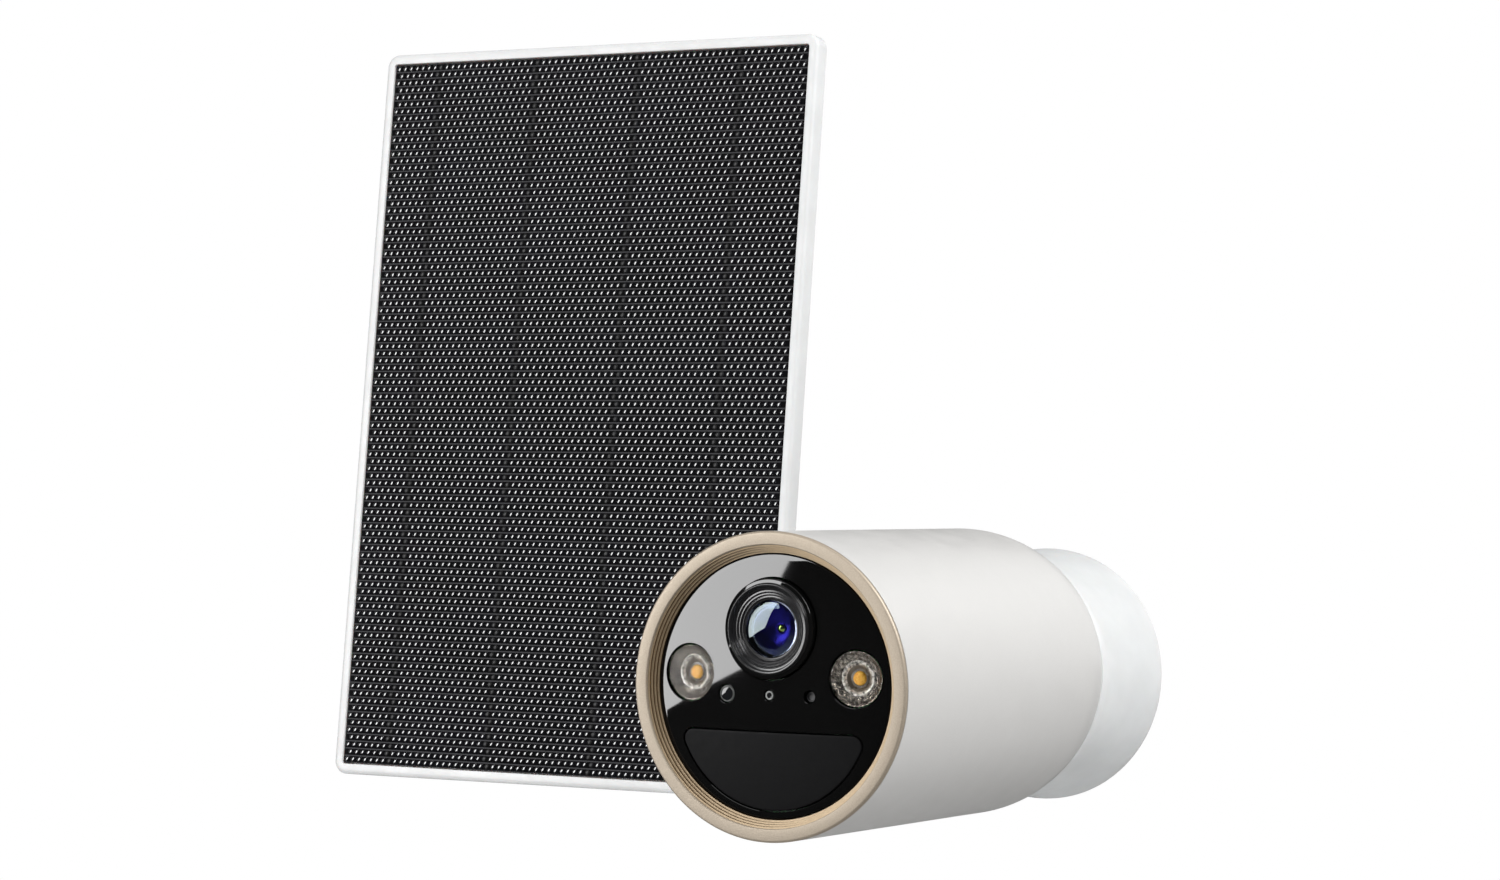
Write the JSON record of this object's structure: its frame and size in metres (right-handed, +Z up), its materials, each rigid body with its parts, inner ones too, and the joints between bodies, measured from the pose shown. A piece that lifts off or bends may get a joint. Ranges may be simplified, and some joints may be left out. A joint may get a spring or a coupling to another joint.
{
  "type": "solar powered wireless security camera",
  "caption": "Wire-free outdoor security camera with a champagne ring on a magnetic dome mount, beside a white-edged solar panel on a tilting wall bracket.",
  "frame": {"origin": "centre of the camera base's back face, on the wall plane", "axes": "+Z up; +Y into the wall, so the lens looks along -Y; the solar panel hangs on the -X side"},
  "size_m": [0.2149, 0.1433, 0.1956],
  "materials": {
    "ring_metal": "champagne anodised, satin",
    "pearl_shell": "pearl silver satin lacquer",
    "white_shell": "fine satin",
    "gloss_window": "polished",
    "black_trim": "satin",
    "grey_rubber": "matt",
    "black_rubber": "matt",
    "coated_glass": "anti-reflection coated",
    "clear_lens": "clear",
    "reflector": "textured mirror",
    "phosphor": "matt",
    "steel": "plain",
    "nickel": "nickel plate",
    "brass": "turned",
    "circuit_board": "solder mask",
    "cell_silicon": "dark blue-black",
    "laminate": "embossed",
    "cell_sleeve": "shrink sleeve"
  },
  "bodies": {
    "root": {"base_plate": "black_trim", "base_shell": "white_shell", "base_lock_screw": "steel", "magnet_yoke": "steel", "magnet": "nickel", "bracket_plate": "white_shell", "swivel_screw": "steel"},
    "seat": {"seat_pad": "black_rubber"},
    "keeper": {"keeper_plate": "steel"},
    "camera": {"front_ring": "ring_metal", "casing": "pearl_shell", "front_gasket": "black_rubber", "front_window": "gloss_window", "pir_window": "black_trim", "front_carrier": "black_trim", "light_board": "circuit_board", "light_sensor_window": "clear_lens", "status_light_pipe": "clear_lens", "microphone": "black_trim", "pir_sensor": "nickel", "lens_bezel": "black_trim", "lens_front_glass": "coated_glass", "lens_rear_glass": "coated_glass", "lens_barrel": "black_trim", "image_sensor": "cell_silicon", "sensor_board": "circuit_board", "spotlight_lens_left": "clear_lens", "spotlight_lens_right": "clear_lens", "spotlight_reflector_left": "reflector", "spotlight_reflector_right": "reflector", "spotlight_led_left": "phosphor", "spotlight_led_right": "phosphor", "battery_frame": "black_trim", "battery_cell_left": "cell_sleeve", "battery_cell_right": "cell_sleeve", "main_board": "circuit_board", "antenna": "brass", "speaker": "black_trim", "port_tray": "black_trim", "usb_socket": "nickel", "memory_card": "black_trim"},
    "port_flap": {"port_cover": "grey_rubber"},
    "power_key": {"power_button": "black_rubber"},
    "reset_key": {"reset_button": "black_rubber"},
    "arm": {"bracket_arm": "white_shell", "hinge_bolt": "steel"},
    "knob": {"hinge_knob": "black_trim"},
    "panel": {"tilt_head": "white_shell", "panel_frame": "white_shell", "panel_laminate": "laminate", "panel_cells": "cell_silicon", "panel_rear_housing": "white_shell", "charge_board": "circuit_board", "stud_insert": "brass", "cable_gland": "black_rubber"},
    "ring": {"lock_ring": "black_trim"}
  },
  "joints": [
    {"name": "camera_pan", "type": "hinge", "parent": "root", "child": "seat", "pos_m": [0, -0.0492, 0], "axis": [0, 1, 0], "continuous": true},
    {"name": "camera_tilt", "type": "hinge", "parent": "seat", "child": "keeper", "pos_m": [0, -0.0492, 0], "axis": [1, 0, 0], "range_deg": [-37.8, 32.2]},
    {"name": "camera_roll", "type": "hinge", "parent": "keeper", "child": "camera", "pos_m": [0, -0.0492, 0], "axis": [0, -0.9988, -0.0489], "continuous": true},
    {"name": "port_cover_hinge", "type": "hinge", "parent": "camera", "child": "port_flap", "pos_m": [0, -0.0832, -0.0357], "axis": [-1, 0, 0], "range_deg": [0, 100]},
    {"name": "power_press", "type": "slide", "parent": "camera", "child": "power_key", "axis": [0, -0.0489, 0.9988], "range_m": [0, 0.0006], "stiffness_N_per_m": 2500},
    {"name": "reset_press", "type": "slide", "parent": "camera", "child": "reset_key", "axis": [0, -0.0489, 0.9988], "range_m": [0, 0.0005], "stiffness_N_per_m": 2500},
    {"name": "panel_swivel", "type": "hinge", "parent": "root", "child": "arm", "pos_m": [-0.1154, -0.02, 0.06064], "axis": [0, 1, 0], "range_deg": [0, 45]},
    {"name": "panel_tilt", "type": "hinge", "parent": "arm", "child": "panel", "pos_m": [-0.1154, -0.02, 0.06064], "axis": [1, 0, 0], "range_deg": [-8, 24]},
    {"name": "knob_turn", "type": "hinge", "parent": "arm", "child": "knob", "pos_m": [-0.1154, -0.02, 0.06064], "axis": [1, 0, 0], "continuous": true},
    {"name": "lock_ring_turn", "type": "hinge", "parent": "panel", "child": "ring", "pos_m": [-0.1154, -0.02, 0.06064], "axis": [0, -0.9983, 0.0583], "continuous": true}
  ]
}
